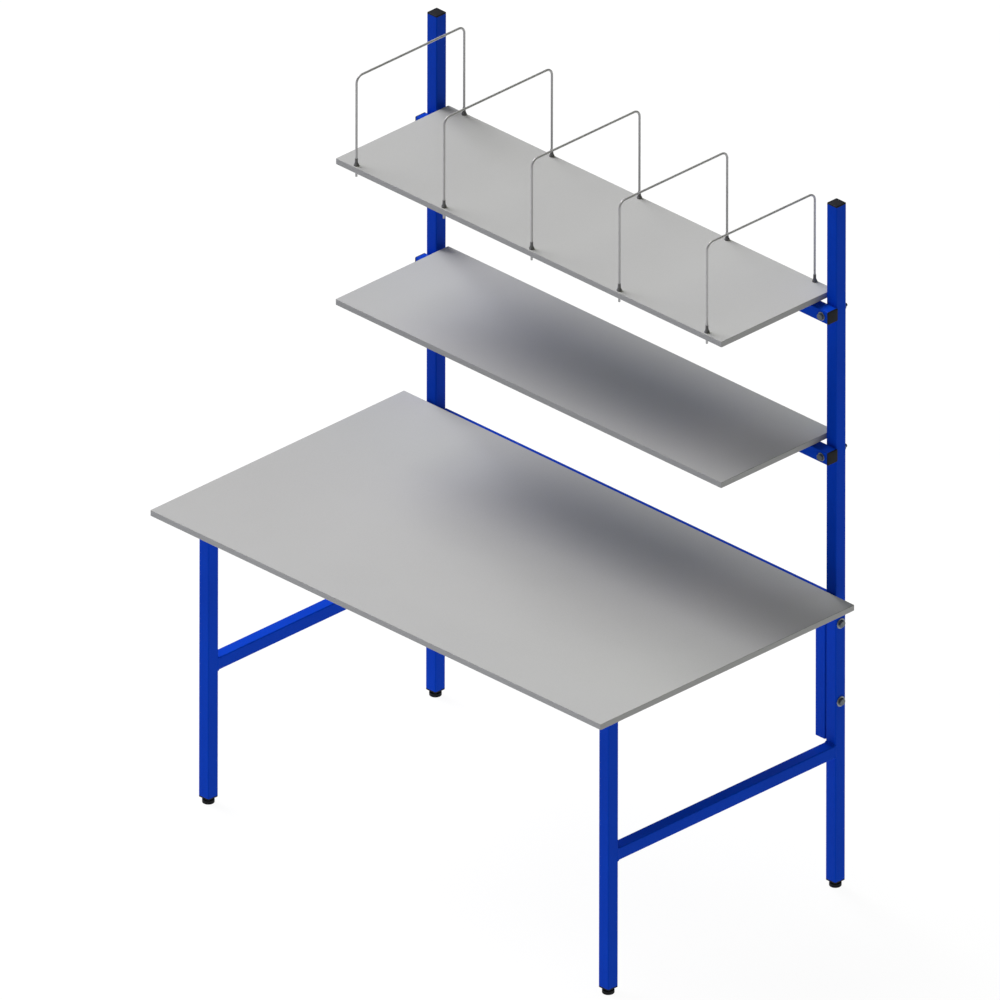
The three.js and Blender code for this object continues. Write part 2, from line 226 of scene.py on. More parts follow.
# Shapes. An outline is an array of points anticlockwise in a plane, and a ring is an outline at a
# height. A shape is its vertices, faces and marks.

def node_corners(node):
    """Lowest and highest corner of a CAD node, as arrays."""
    low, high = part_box(node)
    return np.array(low), np.array(high)


def middle(node):
    """Centre of a CAD node's box."""
    low, high = node_corners(node)
    return (low + high) / 2


def underside(low, high):
    """Centre of a box's lower face."""
    return np.array([(low[X] + high[X]) / 2, (low[Y] + high[Y]) / 2, low[Z]])


def rounding(radius, steps):
    """Quarter circle over an edge: radius (1 - sin t) falls to 0 while radius (1 - cos t) rises."""
    turn = np.linspace(0, np.pi / 2, steps + 1)
    return radius * (1 - np.sin(turn)), radius * (1 - np.cos(turn))


def square_outline(width, height, radius):
    """Rectangle with rounded corners: a quarter circle about each corner's centre, radius (cos t,
    sin t), and one point more on the flat before and after it."""
    turn = np.linspace(0, np.pi / 2, CORNER_STEPS + 1)
    arc = radius * np.column_stack([np.cos(turn), np.sin(turn)])
    hold = min(CORNER_HOLD, (min(width, height) / 2 - radius) / 2)
    quarter = np.vstack([arc[0] - [0, hold], arc, arc[-1] - [hold, 0]])
    centre = np.array([width / 2 - radius, height / 2 - radius])
    whole = []
    for cosine, sine, signs in ((1, 0, (1, 1)), (0, 1, (-1, 1)),
                                (-1, 0, (-1, -1)), (0, -1, (1, -1))):
        corner = quarter @ np.array([[cosine, sine], [-sine, cosine]])
        whole.append(corner + signs * centre)
    return np.vstack(whole)


def around(count):
    """Angles t, evenly round."""
    return np.arange(count) * 2 * np.pi / count


def circle(radius, count=ROUND):
    """Points radius (cos t, sin t)."""
    turn = around(count)
    return radius * np.column_stack([np.cos(turn), np.sin(turn)])


def circle_like(outline, radius):
    """Circle whose points lie in the same directions as an outline's."""
    return radius * outline / np.linalg.norm(outline, axis=1)[:, None]


def hexagon(flats, limit=math.inf):
    """Hexagon from its width across flats, r = (flats / 2) / cos(t - nearest flat's direction), cut
    off where r is over the limit."""
    away = (around(ROUND) % (np.pi / 3)) - np.pi / 6
    return np.minimum(flats / 2 / np.cos(away), limit)[:, None] * circle(1)


def skin(rings, ends="flat", marks=None):
    """Quads between each ring and the next. The ends are closed with one flat face each, or for
    "loop" the last ring is joined to the first. A mark has a number for each ring, or a number or a
    vector for each point."""
    rings = np.asarray(rings, float)
    rows, columns = rings.shape[:2]
    index = np.arange(rows * columns).reshape(rows, columns)
    lower = index if ends == "loop" else index[:-1]
    upper = np.roll(index, -1, axis=0) if ends == "loop" else index[1:]
    next_lower, next_upper = np.roll(lower, -1, axis=1), np.roll(upper, -1, axis=1)
    quads = np.stack([lower, next_lower, next_upper, upper], axis=-1)
    faces = quads.reshape(-1, 4).tolist()
    if ends == "flat":
        faces += [index[0, ::-1].tolist(), index[-1].tolist()]
    spread = {}
    for name, values in (marks or {}).items():
        if values.shape == (rows,):
            values = np.repeat(values, columns)
        spread[name] = values.reshape(rows * columns, -1)
    return rings.reshape(-1, 3), faces, spread


def placed(points, along, centre, direction=1):
    """Points made along Z, laid along an axis, forwards or backwards, from the centre. Their first
    two directions become the next two axes in turn."""
    laid = np.empty_like(points)
    laid[..., [(along + 1) % 3, (along + 2) % 3, along]] = points * [1, 1, direction]
    return laid + np.asarray(centre, float)


def stack(levels, along=Z, centre=(0, 0, 0), ends="flat", marks=None):
    """Skin over (outline, height) pairs, with the heights along that axis from the centre."""
    rings = np.array([np.column_stack([outline, np.full(len(outline), height)])
                      for outline, height in levels])
    return skin(placed(rings, along, centre), ends, marks)


def turned(profile, centre=(0, 0, 0), count=ROUND):
    """Ring turned about Z: a circle for each (radius, height) of a closed profile."""
    return stack([(circle(radius, count), height) for radius, height in profile], Z, centre, "loop")


def facing(shape, direction):
    """The shape as it is, or for a direction of -1, as when it was mirrored, with its faces turned
    the right way out."""
    vertices, faces, marks = shape
    return shape if direction > 0 else (vertices, [face[::-1] for face in faces], marks)


def moved(shape, along, centre, direction=1):
    """A shape made along Z and round the origin, laid along an axis, forwards or backwards."""
    vertices, faces, marks = shape
    return facing((placed(vertices, along, centre, direction), faces, marks), direction)


def combined(shapes):
    """Several closed shapes with the same kinds of marks, as one."""
    starts = np.cumsum([0] + [len(vertices) for vertices, _, _ in shapes])
    faces = [[corner + start for corner in face]
             for shape, start in zip(shapes, starts) for face in shape[1]]
    marks = {name: np.vstack([shape[2][name] for shape in shapes]) for name in shapes[0][2]}
    return np.vstack([shape[0] for shape in shapes]), faces, marks


def new_mesh(name, shapes):
    """A mesh object from shapes, smooth but for edges sharper than the named angle."""
    vertices, faces, marks = combined(shapes)
    mesh = bpy.data.meshes.new(name)
    mesh.from_pydata(vertices.tolist(), [], faces)
    for mark, values in marks.items():
        kind, field = ("FLOAT", "value") if values.shape[1] == 1 else ("FLOAT_VECTOR", "vector")
        attribute = mesh.attributes.new(mark, kind, "POINT")
        attribute.data.foreach_set(field, values.astype(np.float32).ravel())
    mesh.shade_smooth()
    mesh.set_sharp_from_angle(angle=SHARP_ANGLE)
    return linked(name, mesh)


def linked(name, content):
    """A new object in the scene."""
    thing = bpy.data.objects.new(name, content)
    bpy.context.scene.collection.objects.link(thing)
    return thing


def bored(thing, bores):
    """Cuts round holes through a piece. A bore is its centre, its axis, its reach to either side
    and its radius."""
    if not bores:
        return thing
    drills = [stack([(circle(radius), -reach), (circle(radius), reach)], along, centre)
              for centre, along, reach, radius in bores]
    tool = new_mesh("drill", drills)
    cut = thing.modifiers.new("bores", "BOOLEAN")
    cut.operation, cut.solver, cut.object = "DIFFERENCE", "EXACT", tool
    bpy.context.view_layer.update()
    graph = bpy.context.evaluated_depsgraph_get()
    mesh = bpy.data.meshes.new_from_object(thing.evaluated_get(graph), depsgraph=graph)
    thing.modifiers.clear()
    thing.data = mesh
    mesh.set_sharp_from_angle(angle=SHARP_ANGLE)
    bpy.data.objects.remove(tool)
    return thing


def piece(name, shapes, finish, node=None, body=TABLE, bores=()):
    """One finished piece, riding on a body, which stands for its CAD node if it has one."""
    material, slot = finish
    thing = bored(new_mesh(name, shapes), bores)
    thing.data.materials.append(material)
    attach(thing, body)
    if node:
        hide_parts(node)


# Finishes

class Number:
    """A shader's number in arithmetic: each operator adds one Math node."""

    def __init__(self, finish, socket):
        self.finish, self.socket = finish, socket

    def _math(self, operation, first, second):
        return self.finish.node("ShaderNodeMath", {"operation": operation}, {0: first, 1: second})

    def __add__(self, other):
        return self._math("ADD", self, other)

    def __sub__(self, other):
        return self._math("SUBTRACT", self, other)

    def __rsub__(self, other):
        return self._math("SUBTRACT", other, self)

    def __mul__(self, other):
        return self._math("MULTIPLY", self, other)

    __radd__, __rmul__ = __add__, __mul__


class Finish:
    """A material under construction: one Principled shader with constants on its own sockets."""

    def __init__(self, name, constants):
        self.material = bpy.data.materials.new(name)
        self.material.use_nodes = True
        self.tree = self.material.node_tree
        self.tree.nodes.clear()
        self.shader = self.tree.nodes.new("ShaderNodeBsdfPrincipled")
        output = self.tree.nodes.new("ShaderNodeOutputMaterial")
        self.tree.links.new(self.shader.outputs[0], output.inputs["Surface"])
        for socket, value in constants.items():
            self.set(self.shader.inputs[socket], value)
        self.place = self.node("ShaderNodeTexCoord", output="Object")

    def set(self, socket, value):
        """Links a Number to a socket, or sets the socket's own value."""
        if isinstance(value, Number):
            self.tree.links.new(value.socket, socket)
        else:
            socket.default_value = value

    def node(self, kind, settings=None, sockets=None, output=0):
        """A node of that kind, with its settings made before its sockets are filled."""
        made = self.tree.nodes.new(kind)
        for setting, value in (settings or {}).items():
            setattr(made, setting, value)
        for socket, value in (sockets or {}).items():
            self.set(made.inputs[socket], value)
        return Number(self, made.outputs[output])

    def noise(self, size, detail=2.0, place=None, stretch=(1, 1, 1)):
        """Soft random pattern with features of that size in metres. A stretch under 1 draws it out
        along an axis."""
        spread = self.node("ShaderNodeMapping", {},
                           {"Vector": place or self.place, "Scale": stretch})
        return self.node("ShaderNodeTexNoise", {"noise_dimensions": "3D"},
                         {"Vector": spread, "Scale": 1 / size, "Detail": detail,
                          "Roughness": NOISE_ROUGHNESS})

    def cells(self, size):
        """Distance from the nearest of random points that lie about that far apart, in shares."""
        return self.node("ShaderNodeTexVoronoi", {"voronoi_dimensions": "3D", "feature": "F1"},
                         {"Vector": self.place, "Scale": 1 / size})

    def mark(self, name, output="Fac"):
        """A mark that the mesh carries."""
        return self.node("ShaderNodeAttribute", {"attribute_name": name}, output=output)

    def step(self, value, low, high):
        """0 below low, 1 above high and a smooth step between."""
        return self.node("ShaderNodeMapRange", {"interpolation_type": "SMOOTHSTEP"},
                         {"Value": value, "From Min": low, "From Max": high})

    def mix(self, first, second, share):
        """The first colour where the share is 0, and the second where it is 1."""
        return self.node("ShaderNodeMix", {"data_type": "RGBA"}, {0: share, 6: first, 7: second},
                         output=2)

    def bump(self, height, distance):
        """Normals of a relief whose height goes from 0 to 1 over that distance in metres."""
        return self.node("ShaderNodeBump", {},
                         {"Height": height, "Distance": distance, "Strength": 1.0})

    def done(self, **varied):
        """The material, with what varies over the surface fed to the shader."""
        for socket, value in varied.items():
            self.set(self.shader.inputs[socket.replace("_", " ")], value)
        return self.material


def colour(red, green, blue):
    """A full colour, as sockets take it."""
    return (red, green, blue, 1.0)


def powder_coat():
    """Deep blue powder coat: orange peel of about 2 mm, a fine grain in it, slow changes of tone
    and gloss, and darker tube corners, partly a thinner coat and partly painted shade that stands
    in for dark outlines along the tubes' edges."""
    f = Finish("blue_powder_coat", {"IOR": 1.45, "Specular IOR Level": 0.03})
    deep, full = colour(0.0005, 0.046, 0.505), colour(0.0009, 0.054, 0.565)
    # Darker blue for the corners: partly a thinner coat, partly painted shade for dark edge
    # outlines
    thin_coat_and_shade = colour(0.0006, 0.040, 0.38)
    peel, grain = f.noise(2.4 * MM, 1.0), f.noise(0.5 * MM, 1.0)
    cloud = f.noise(160 * MM, 3.0)
    coat = f.mix(deep, full, f.step(0.45 * cloud + 0.35 * peel + 0.2 * grain, 0.35, 0.65))
    return f.done(Base_Color=f.mix(coat, thin_coat_and_shade, f.mark("corner") * 0.3),
                  Roughness=0.36 + 0.14 * cloud + 0.05 * grain,
                  Normal=f.bump(0.75 * peel + 0.25 * grain, 0.07 * MM))


def melamine():
    """Light grey melamine: a pearl grain of about 1 mm on slow clouds, with an edge band, streaked
    along the board's edge, and its glue line. The band's darker grey is partly its own tone and
    partly painted shade for the boards' darker edges."""
    f = Finish("grey_melamine", {"IOR": 1.48, "Specular IOR Level": 0.1})
    face_dark, face_light = colour(0.475, 0.480, 0.475), colour(0.515, 0.520, 0.515)
    # The edge band's darker grey is partly painted shade that darkens the boards' edges
    edge_dark, edge_light = colour(0.375, 0.380, 0.380), colour(0.405, 0.410, 0.410)
    glue = colour(0.22, 0.22, 0.21)
    pearl, fleck = f.noise(1.3 * MM), f.cells(2.1 * MM)
    cloud = f.noise(240 * MM)
    streak = f.noise(3 * MM, stretch=(0.05, 0.05, 1))
    band, seam = f.mark("band"), f.mark("seam")
    tone = f.step(0.5 * pearl + 0.25 * fleck + 0.25 * cloud, 0.25, 0.6)
    face = f.mix(face_dark, face_light, tone)
    banded = f.mix(face, f.mix(edge_dark, edge_light, streak), band)
    return f.done(Base_Color=f.mix(banded, glue, seam * 0.7),
                  Roughness=0.52 + 0.1 * pearl - 0.1 * band,
                  Normal=f.bump(pearl, 0.035 * MM))


def moulded(name, dark, light, gloss):
    """Moulded plastic with a spark-eroded grain of under 1 mm and slightly uneven gloss."""
    f = Finish(name, {"IOR": 1.46, "Specular IOR Level": 0.1})
    grain, cloud = f.noise(0.7 * MM), f.noise(12 * MM)
    return f.done(Base_Color=f.mix(dark, light, f.step(0.5 * grain + 0.5 * cloud, 0.3, 0.7)),
                  Roughness=gloss + 0.12 * cloud,
                  Normal=f.bump(grain, 0.05 * MM))


def zinc_plate(name, bluish_with_painted_reflection, warm, crystals):
    """Zinc plate, partly passivated to a dull skin: crystals a few mm wide, a bluish and a warm
    tint, the bluish one partly painted reflection of the blue coat, and fine handling marks."""
    f = Finish(name, {"Metallic": 0.7})
    crystal, tint = f.cells(3.2 * MM), f.noise(9 * MM)
    scuff = f.noise(0.6 * MM, 3.0)
    plate = f.mix(bluish_with_painted_reflection, warm, f.step(tint, 0.35, 0.65))
    return f.done(Base_Color=f.mix(plate, crystals, 0.45 * crystal),
                  Roughness=0.26 + 0.16 * scuff + 0.08 * crystal,
                  Normal=f.bump(scuff, 0.02 * MM))


def drawn_wire():
    """Drawn and plated wire: fine lines along its length, laid out by the point's place across and
    along the wire."""
    f = Finish("bright_wire", {"Metallic": 0.3, "Specular IOR Level": 0.3})
    dull, bright = colour(0.40, 0.40, 0.40), colour(0.56, 0.56, 0.555)
    laid = f.mark("drawn", "Vector")
    line, patch = f.noise(0.35 * MM, 2.0, laid, (1, 1, 0.02)), f.noise(14 * MM, 2.0, laid)
    return f.done(Base_Color=f.mix(dull, bright, 0.6 * line + 0.4 * patch),
                  Roughness=0.3 + 0.2 * line,
                  Normal=f.bump(line, 0.02 * MM))


def pale_floor():
    """Plain pale floor with a barely seen mottle."""
    f = Finish("pale_floor", {"Roughness": 0.9, "Specular IOR Level": 0.0,
                              "Emission Color": colour(1, 1, 1), "Emission Strength": FLOOR_GLOW})
    dark, light = colour(0.07, 0.07, 0.07), colour(0.09, 0.09, 0.09)
    return f.done(Base_Color=f.mix(dark, light, f.noise(FLOOR_MOTTLE)))


# A piece's finish is its material and the record's material slot
BLUE = (powder_coat(), "blue_coat")
GREY = (melamine(), "grey_board")
BLACK = (moulded("black_plastic", colour(0.008, 0.009, 0.011), colour(0.016, 0.017, 0.019),
                 gloss=0.42), "black_plastic")
DARK_GREY = (moulded("grey_plastic", colour(0.150, 0.151, 0.152), colour(0.190, 0.191, 0.192),
                     gloss=0.45), "grey_plastic")
# The zincs' blue tint, lighter and bluer on the washers, is partly painted reflection of the blue
# coat
ZINC = (zinc_plate("zinc_plate", colour(0.085, 0.105, 0.125), colour(0.125, 0.135, 0.135),
                   colour(0.20, 0.215, 0.23)), "zinc_steel")
WASHER_ZINC = (zinc_plate("washer_zinc", colour(0.19, 0.22, 0.255), colour(0.25, 0.265, 0.27),
                          colour(0.34, 0.36, 0.38)), "zinc_steel")
WIRE = (drawn_wire(), "bright_wire")


# Boards

def board_piece(node, bores=()):
    """Board with an edge band: the outline drawn in by an inset at each of a run of heights, so
    that the profile goes in a straight line over the face and the side and in a quarter circle of
    the rounding between them. The upper half mirrors the lower one."""
    low, high = node_corners(node)
    width, depth, thickness = high - low
    seam = BAND_THICKNESS + GLUE_LINE * np.array([2, 1, 0.5, 0])
    insets, heights = rounding(BOARD_ROUNDING, CORNER_STEPS)
    insets = np.concatenate([seam, insets, [0]])
    heights = np.concatenate([np.zeros(len(seam)), heights, [BOARD_ROUNDING + CORNER_HOLD]])
    band, glue = np.ones(len(insets)), np.zeros(len(insets))
    band[:2], glue[1:3] = 0, 1
    heights = np.concatenate([heights, thickness - heights[::-1]])
    insets, band, glue = (np.concatenate([half, half[::-1]]) for half in (insets, band, glue))
    levels = []
    for inset, height in zip(insets, heights):
        corner = max(BOARD_CORNER - inset, GLUE_LINE)
        levels.append((square_outline(width - 2 * inset, depth - 2 * inset, corner), height))
    shape = stack(levels, Z, underside(low, high), marks={"band": band, "seam": glue})
    piece(f"{node}_board", [shape], GREY, node, bores=bores)


# Tubes and bars

# This mark drives the coat's darker corners, which are partly painted shade
def corner_mark(outline, width, height, radius):
    """1 in the middle of a rounded corner, falling to 0 on the flats."""
    inside = np.abs(outline) - (np.array([width, height]) / 2 - radius)
    return np.clip(inside / radius, 0, 1).min(axis=1) * math.sqrt(2)


def tube_piece(node, closed=False, bores=()):
    """Square tube: the outer outline carried from one end to the other and the inner one back. A
    closed tube has a plate over its lower end."""
    low, high = node_corners(node)
    size = high - low
    along = int(np.argmax(size))
    width, height = size[(along + 1) % 3], size[(along + 2) % 3]
    outer = square_outline(width, height, TUBE_CORNER)
    inner = square_outline(width - 2 * TUBE_WALL, height - 2 * TUBE_WALL,
                           TUBE_CORNER * INNER_CORNER_SHARE)
    half = size[along] / 2
    floor = -half + POST_PLATE if closed else -half
    levels = [(outer, -half), (outer, half), (inner, half), (inner, floor)]
    mark = corner_mark(outer, width, height, TUBE_CORNER)
    marks = {"corner": np.concatenate([mark, mark, np.zeros(2 * len(inner))])}
    shape = stack(levels, along, (low + high) / 2, "flat" if closed else "loop", marks)
    piece(f"{node}_tube", [shape], BLUE, node, bores=bores)


def bolt_bores(nodes, along):
    """Bores along bolts that cross a piece."""
    return [(middle(node), along, BORE_REACH, BORE_RADIUS) for node in nodes]


def arm_piece(node):
    """Flat bar with rounded long edges and slightly rounded ends."""
    low, high = node_corners(node)
    width, length, thickness = high - low
    insets, rises = rounding(ARM_END_ROUNDING, ARM_END_STEPS)
    ends = length / 2 - rises
    levels, marks = [], []
    for inset, place in zip([*insets, *insets[::-1]], [*-ends, *ends[::-1]]):
        across = thickness - 2 * inset, width - 2 * inset
        outline = square_outline(*across, ARM_CORNER)
        levels.append((outline, place))
        marks.append(corner_mark(outline, *across, ARM_CORNER))
    shape = stack(levels, Y, (low + high) / 2, marks={"corner": np.concatenate(marks)})
    piece(f"{node}_bar", [shape], BLUE, node)


# Welds

def bead(path, outward, along, sections, closed):
    """Weld bead: an ellipse carried along a path. Its centre is sunk under the surface, it rises
    along the outward direction and reaches to both sides along the joint's axis, and every ripple
    it swells a little, later in the middle than at its sides. An open bead tapers at its ends."""
    gaps = np.linalg.norm(np.roll(path, -1, axis=0) - path, axis=1)
    run = np.concatenate([[0], np.cumsum(gaps[:-1])])
    length = run[-1] + (gaps[-1] if closed else 0)
    ripples = max(1, round(length / BEAD_RIPPLE))
    turn = around(BEAD_SIDES)
    phase = 2 * np.pi * ripples * run[:, None] / length - BEAD_RIPPLE_LAG * np.cos(turn)[None, :]
    swell = 1 + BEAD_RIPPLE_SHARE * np.cos(phase)
    taper = np.ones(len(path))
    if not closed:
        taper = np.sqrt(np.clip(np.minimum(run, length - run) / BEAD_TAPER, BEAD_END_SHARE, 1))
    sunk, rise, reach = sections.T
    lift = (rise * taper)[:, None] * swell * np.cos(turn) - sunk[:, None]
    spread = (reach * taper)[:, None] * swell * np.sin(turn) + BEAD_ROOT
    rings = path[:, None] + lift[..., None] * outward[:, None] + spread[..., None] * np.array(along)
    return skin(rings, "loop" if closed else "flat", {"corner": np.zeros(len(path))})


def tube_weld(name, node, axis, direction, kinds):
    """Bead round the end of a square tube that meets a surface, at its low end for a direction of 1
    and at its high end for -1. Kinds says for +u, +v, -u, -v, the two axes after the tube's own,
    whether the joint there is an inner corner, flush or left bare. The bead's path is the tube's
    outline, cut into even steps, and its section at a point is the kinds' mean, with the squares of
    the outline's normal as weights."""
    low, high = node_corners(node)
    u, v = (axis + 1) % 3, (axis + 2) % 3
    outline = square_outline(*(high - low)[[u, v]], TUBE_CORNER)
    whole = np.vstack([outline, outline[:1]])
    run = np.concatenate([[0], np.cumsum(np.linalg.norm(np.diff(whole, axis=0), axis=1))])
    count = int(run[-1] / BEAD_STEP)
    places = np.arange(count) * run[-1] / count
    line = np.column_stack([np.interp(places, run, part) for part in whole.T])
    tangent = np.roll(line, -1, axis=0) - np.roll(line, 1, axis=0)
    normal = np.column_stack([tangent[:, 1], -tangent[:, 0]])
    normal /= np.linalg.norm(normal, axis=1)[:, None]
    shares = np.column_stack([np.clip(normal, 0, None), np.clip(-normal, 0, None)]) ** 2
    sections = shares @ np.array([BEADS[kind] for kind in kinds])
    bare = shares @ np.array([kind == "bare" for kind in kinds], float) > 0.5
    if bare.any():
        shift = -1 - int(np.argmax(bare & ~np.roll(bare, -1)))
        keep = ~np.roll(bare, shift)
        line, normal, sections = (np.roll(part, shift, axis=0)[keep]
                                  for part in (line, normal, sections))
    path, outward = np.zeros((2, len(line), 3))
    path[:, [u, v]], outward[:, [u, v]] = line, normal
    centre = (low + high) / 2
    centre[axis] = (low if direction > 0 else high)[axis]
    along = np.zeros(3)
    along[axis] = direction
    shape = bead(path + centre, outward, along, sections, not bare.any())
    piece(name, [facing(shape, direction)], BLUE)


def stitch_shape(start, end, up, side):
    """Short straight bead in the corner between a bar's side and the face that it lies on."""
    count = int(np.linalg.norm(end - start) / BEAD_STEP)
    path = start + (end - start) * np.linspace(0, 1, count)[:, None]
    sections = np.tile((BEAD_ROOT, *CORNER_BEAD[1:]), (count, 1))
    shape = bead(path, np.tile(up, (count, 1)), side, sections, False)
    return facing(shape, -np.dot(np.cross(end - start, up), side))


# Fasteners

def thread_levels(low, high, start):
    """Screw thread from start to high on a plain shank from low: r = crest - depth |2 frac(z /
    pitch - t / 2 pi) - 1|, levelled at crest and root, growing from the shank's end and cut to a
    cone at its tip."""
    depth = THREAD_DEPTH_SHARE * THREAD_PITCH
    z = np.concatenate([[low], np.arange(start, high, THREAD_PITCH / THREAD_STEPS), [high]])
    turns = around(ROUND) / (2 * np.pi)
    share = np.abs(2 * ((z[:, None] / THREAD_PITCH - turns) % 1) - 1)
    wave = np.clip((1 + 2 * THREAD_LEVELLING) * share - THREAD_LEVELLING, 0, 1)
    grown = np.clip((z - start) / THREAD_RUNOUT, 0, 1)[:, None]
    tip = BOLT_RADIUS - depth + (high - z)[:, None]
    reach = np.minimum(BOLT_RADIUS - depth * wave * grown, tip)
    return [(radius[:, None] * circle(1), height) for radius, height in zip(reach, z)]


def hex_levels(flats, low, high, cone_low, cone_high):
    """Hexagonal prism with cones over its corners at the ends where they are asked for."""
    start = HEX_CONE_SHARE * flats / 2
    reach = np.linspace(start, flats / 2 / math.cos(math.pi / 6), HEX_CONE_STEPS + 1)
    depth = (reach - start) * math.tan(HEX_CONE_ANGLE)
    lower, upper = [(hexagon(flats), low)], [(hexagon(flats), high)]
    if cone_low:
        lower = [(hexagon(flats, limit), low + rise) for limit, rise in zip(reach, depth)]
    if cone_high:
        upper = [(hexagon(flats, limit), high - rise) for limit, rise in zip(reach, depth)][::-1]
    return lower + upper


def washer_shape(radius, bore, low, high):
    """Flat ring with slightly broken outer edges."""
    inner = radius - WASHER_ARRIS
    return turned([(bore, low), (inner, low), (radius, low + WASHER_ARRIS),
                   (radius, high - WASHER_ARRIS), (inner, high), (bore, high)], count=FINE_ROUND)


def nut_shape(low, high):
    """Hexagonal nut: the coned hexagon outside, and a bore with a short lead-in at both ends."""
    bore = BOLT_RADIUS + NUT_PLAY
    inside = [(bore + NUT_LEAD, high), (bore, high - NUT_LEAD), (bore, low + NUT_LEAD),
              (bore + NUT_LEAD, low)]
    return stack(hex_levels(HEX_FLATS, low, high, True, True)
                 + [(circle(radius), height) for radius, height in inside], ends="loop")


def blind_nut_shape(face):
    """Blind nut: a turned profile, with a barrel in the tube's wall and a flange on its face, which
    has a lead-in to the bore."""
    bore, edge = BOLT_RADIUS + NUT_PLAY, BLIND_NUT_RADIUS - WASHER_ARRIS
    bottom, top = face - BLIND_NUT_DEPTH, face + BLIND_NUT_FLANGE
    return turned([(bore, bottom), (BLIND_NUT_BARREL, bottom), (BLIND_NUT_BARREL, face),
                   (BLIND_NUT_RADIUS, face), (BLIND_NUT_RADIUS, top - WASHER_ARRIS), (edge, top),
                   (bore + WASHER_ARRIS, top), (bore, top - WASHER_ARRIS)], count=FINE_ROUND)


def bolt_shape(length):
    """Hexagon bolt along Z with its head's seat at zero."""
    head = hex_levels(HEX_FLATS, -HEAD_HEIGHT, 0, True, False)
    neck = [(circle(HEX_SEAT_SHARE * HEX_FLATS / 2), 0), (circle(BOLT_RADIUS), 0)]
    return stack(head + neck + thread_levels(SHANK_START, length, length - THREAD_LENGTH))


def bolt_seat(node, along, direction):
    """Point where a bolt's head sits on its washer. The direction runs from head to nut."""
    low, high = node_corners(node)
    seat = (low + high) / 2
    seat[along] = (low if direction > 0 else high)[along] + direction * HEAD_HEIGHT
    return seat


def far_face(node, along, direction, seat):
    """How far along the bolt, from its seat, a piece's far face lies."""
    low, high = node_corners(node)
    return direction * ((high if direction > 0 else low)[along] - seat[along])


def fastener_pieces(node, along, direction, seat, shapes):
    """The pieces of one bolt, each made along Z from the seat of its head."""
    for part, shape in shapes.items():
        finish = WASHER_ZINC if part.endswith("washer") else ZINC
        piece(f"{node}_{part}", [moved(shape, along, seat, direction)], finish, node)


def frame_bolt_pieces(node, side):
    """Bolt with a wide washer, a spacer between upright and post, and a blind nut in the post's far
    wall."""
    direction = -SIDES[side]
    seat = bolt_seat(node, X, direction)
    gap = far_face(f"rear_upright_{side}", X, direction, seat)
    face = far_face(f"back_post_{side}", X, direction, seat)
    play = BOLT_RADIUS + WASHER_PLAY
    fastener_pieces(node, X, direction, seat, {
        "bolt": bolt_shape(face - BOLT_END_GAP),
        "head_washer": washer_shape(FRAME_WASHER_RADIUS, play, 0, WASHER_THICKNESS),
        "spacer": washer_shape(SPACER_RADIUS, BORE_RADIUS, gap, gap + SPACER_THICKNESS),
        "blind_nut": blind_nut_shape(face),
    })


def beam_bolt_pieces(node, side):
    """Bolt through beam and upright, with a washer under its head and another under the nut."""
    seat = bolt_seat(node, Y, 1)
    end = far_face(node, Y, 1, seat)
    face = far_face(f"rear_upright_{side}", Y, 1, seat)
    nut = face + WASHER_THICKNESS
    play = BOLT_RADIUS + WASHER_PLAY
    fastener_pieces(node, Y, 1, seat, {
        "bolt": bolt_shape(end),
        "head_washer": washer_shape(BEAM_WASHER_RADIUS, play, 0, WASHER_THICKNESS),
        "nut_washer": washer_shape(NUT_WASHER_RADIUS, play, face, nut),
        "nut": nut_shape(nut, nut + NUT_HEIGHT),
    })


def screw_shape(place):
    """Pan-head wood screw under a board: a domed disc, z = height sqrt(1 - (dome share r)^2) with r
    from 0 to 1, and a cross sunk in its middle wherever the point is within the slot's half width
    of either axis."""
    turn, share = around(FINE_ROUND), SCREW_RINGS[:, None]
    radius = SCREW_RADIUS * share
    x, y = radius * np.cos(turn), radius * np.sin(turn)
    dome = SCREW_HEIGHT * np.sqrt(1 - (SCREW_DOME_SHARE * share) ** 2)
    near = np.minimum(np.abs(x), np.abs(y))
    in_slot = np.clip((SCREW_SLOT_HALF - near) / SCREW_SLOT_WALL + 0.5, 0, 1)
    in_reach = np.clip((SCREW_SLOT_REACH - np.hypot(x, y)) / SCREW_SLOT_END + 0.5, 0, 1)
    z = dome - SCREW_RECESS * in_slot * in_reach
    rings = np.stack([x, y, z], axis=-1)[::-1]
    rim = rings[:1] * [1, 1, 0]
    return moved(skin(np.concatenate([rim, rings])), Z, place, -1)


# Plastic pieces

def plug_levels(low, high):
    """Square plug with flexible ribs round it: the outline swells by the rib's height in a rounded
    wave, and draws in towards its tip."""
    z = np.linspace(low, high, PLUG_RIB_STEPS * PLUG_RIBS + 1)
    wave = np.sin(np.pi * PLUG_RIBS * (z - low) / (high - low)) ** PLUG_RIB_SHARPNESS
    draft = PLUG_TIP_DRAFT * np.clip(1 - (high - z) / PLUG_TIP_LENGTH, 0, 1)
    widths = 2 * (PLUG_HALF + PLUG_RIB * wave - draft)
    return [(square_outline(width, width, PLUG_CORNER), height) for width, height in zip(widths, z)]


